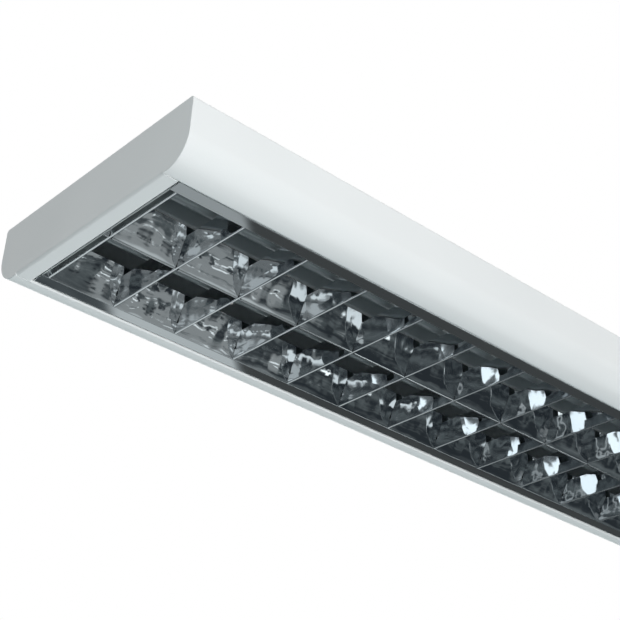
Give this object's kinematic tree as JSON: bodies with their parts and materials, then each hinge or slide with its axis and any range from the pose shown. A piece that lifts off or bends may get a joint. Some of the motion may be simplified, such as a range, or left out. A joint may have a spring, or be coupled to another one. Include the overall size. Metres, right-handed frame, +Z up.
{
  "type": "louvered ceiling light",
  "caption": "Slim surface-mounted fluorescent ceiling light with a white steel body and a parabolic mirror louvre that swings down for changing the lamps.",
  "frame": {"origin": "middle of the flat top face that lies on the ceiling", "axes": "+Z up to the ceiling, +X along the lamps, +Y across to the louvre's pivot side"},
  "size_m": [1.184, 0.243, 0.052],
  "materials": {
    "white_enamel": "white powder coat, semi-gloss",
    "mirror_aluminium": "bright anodised, specular",
    "zinc_steel": "zinc plated",
    "spring_steel": "bright rolled strip",
    "lamp_glass": "phosphor-coated, satin white",
    "lamp_cap": "drawn, satin",
    "lamp_pin": "bright",
    "rotor_plastic": "moulded",
    "holder_plastic": "moulded",
    "galvanised_steel": "galvanised sheet",
    "terminal_plastic": "moulded",
    "tinned_brass": "tinned",
    "earth_insulation": "smooth insulation",
    "mains_insulation": "smooth insulation",
    "lead_insulation": "smooth insulation",
    "grommet_rubber": "matt"
  },
  "bodies": {
    "housing": {"ballast_case": "galvanised_steel", "ballast_terminals": "terminal_plastic", "cable_grommet": "grommet_rubber", "catch_spring_far": "spring_steel", "catch_spring_near": "spring_steel", "earth_lead": "earth_insulation", "earth_tag": "tinned_brass", "end_cap_far": "white_enamel", "end_cap_near": "white_enamel", "gear_cover": "white_enamel", "housing_shell": "white_enamel", "lamp_leads_far": "lead_insulation", "lamp_leads_near": "lead_insulation", "lampholder_bracket_far": "white_enamel", "lampholder_bracket_near": "white_enamel", "lampholder_far_front": "holder_plastic", "lampholder_far_rear": "holder_plastic", "lampholder_near_front": "holder_plastic", "lampholder_near_rear": "holder_plastic", "mains_leads": "mains_insulation", "mains_terminal_block": "terminal_plastic", "mains_terminal_screws": "zinc_steel", "stud_nuts": "zinc_steel", "weld_studs": "zinc_steel"},
    "louvre": {"centre_reflector": "mirror_aluminium", "cross_blade_01": "mirror_aluminium", "cross_blade_02": "mirror_aluminium", "cross_blade_03": "mirror_aluminium", "cross_blade_04": "mirror_aluminium", "cross_blade_05": "mirror_aluminium", "cross_blade_06": "mirror_aluminium", "cross_blade_07": "mirror_aluminium", "cross_blade_08": "mirror_aluminium", "cross_blade_09": "mirror_aluminium", "cross_blade_10": "mirror_aluminium", "cross_blade_11": "mirror_aluminium", "cross_blade_12": "mirror_aluminium", "cross_blade_13": "mirror_aluminium", "cross_blade_14": "mirror_aluminium", "cross_blade_15": "mirror_aluminium", "cross_blade_16": "mirror_aluminium", "cross_blade_17": "mirror_aluminium", "cross_blade_18": "mirror_aluminium", "louvre_end_far": "mirror_aluminium", "louvre_end_near": "mirror_aluminium", "louvre_pivot_pins": "zinc_steel", "side_reflector_front": "mirror_aluminium", "side_reflector_rear": "mirror_aluminium"},
    "lamp_front": {"lamp_front_caps": "lamp_cap", "lamp_front_pins": "lamp_pin", "lamp_front_rotors": "rotor_plastic", "lamp_front_tube": "lamp_glass"},
    "lamp_rear": {"lamp_rear_caps": "lamp_cap", "lamp_rear_pins": "lamp_pin", "lamp_rear_rotors": "rotor_plastic", "lamp_rear_tube": "lamp_glass"}
  },
  "joints": [
    {"name": "louvre_swing", "type": "hinge", "parent": "housing", "child": "louvre", "pos_m": [0, 0.0905, -0.0485], "axis": [1, 0, 0], "range_deg": [0, 90]},
    {"name": "lamp_front_turn", "type": "hinge", "parent": "housing", "child": "lamp_front", "pos_m": [0, -0.04113, -0.016], "axis": [1, 0, 0], "range_deg": [0, 90]},
    {"name": "lamp_rear_turn", "type": "hinge", "parent": "housing", "child": "lamp_rear", "pos_m": [0, 0.04113, -0.016], "axis": [1, 0, 0], "range_deg": [0, 90]}
  ]
}
